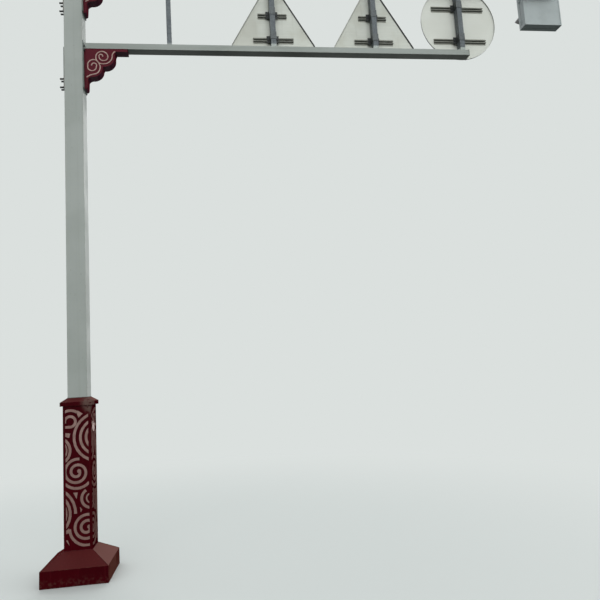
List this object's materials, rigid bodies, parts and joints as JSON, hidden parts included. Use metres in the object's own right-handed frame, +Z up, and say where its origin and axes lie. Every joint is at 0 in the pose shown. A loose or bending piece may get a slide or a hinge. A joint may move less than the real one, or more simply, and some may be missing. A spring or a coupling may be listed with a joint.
{
  "type": "cantilever sign gantry",
  "caption": "Square roadside pole on a scrolled maroon pedestal, with parallel arms on scalloped corner brackets that carry sign backs and a signal head over the road",
  "frame": {"origin": "middle of the base plate's underside, on the ground under the pole", "axes": "+Z up along the pole, +X along the arms, +Y the way the signs and the lamps face"},
  "size_m": [6.574, 0.98, 7.79],
  "materials": {
    "white_paint": "off-white gloss coat, lightly soiled",
    "red_paint": "deep maroon gloss coat",
    "scroll_paint": "pale warm coat on raised bands",
    "galvanised": "hot-dip galvanised steel",
    "sign_sheet": "bare mill-finish sheet",
    "dark_steel": "dark steel",
    "head_shell": "grey moulded shell",
    "hood_shell": "black moulded hoods",
    "green_lens": "dark tinted lens, unlit",
    "amber_lens": "dark tinted lens, unlit",
    "red_lens": "dark tinted lens, unlit"
  },
  "bodies": {
    "root": {"base_plate": "dark_steel", "plinth_box": "red_paint", "plinth_hip": "red_paint", "pedestal_column": "red_paint", "pedestal_cap": "red_paint", "scrollwork_front": "scroll_paint", "scrollwork_right": "scroll_paint", "scrollwork_back": "scroll_paint", "scrollwork_left": "scroll_paint", "pole": "white_paint", "pole_cap": "white_paint", "lower_arm": "white_paint", "lower_arm_end": "white_paint", "lower_flange": "white_paint", "lower_back_plate": "white_paint", "lower_studs": "dark_steel", "lower_bracket": "red_paint", "lower_bracket_scrolls": "scroll_paint", "upper_arm": "white_paint", "upper_arm_end": "white_paint", "upper_flange": "white_paint", "upper_back_plate": "white_paint", "upper_studs": "dark_steel", "upper_bracket": "red_paint", "upper_bracket_scrolls": "scroll_paint", "tie_post": "galvanised", "first_sign_post": "galvanised", "second_sign_post": "galvanised", "round_sign_post": "galvanised", "first_sign": "sign_sheet", "second_sign": "sign_sheet", "round_sign": "sign_sheet", "first_sign_rails": "galvanised", "second_sign_rails": "galvanised", "round_sign_rails": "galvanised", "first_sign_clamps": "galvanised", "second_sign_clamps": "galvanised", "round_sign_clamps": "galvanised", "head_housing": "head_shell", "head_doors": "head_shell", "green_lens": "green_lens", "amber_lens": "amber_lens", "red_lens": "red_lens", "head_hoods": "hood_shell", "head_saddle": "galvanised"}
  },
  "joints": []
}
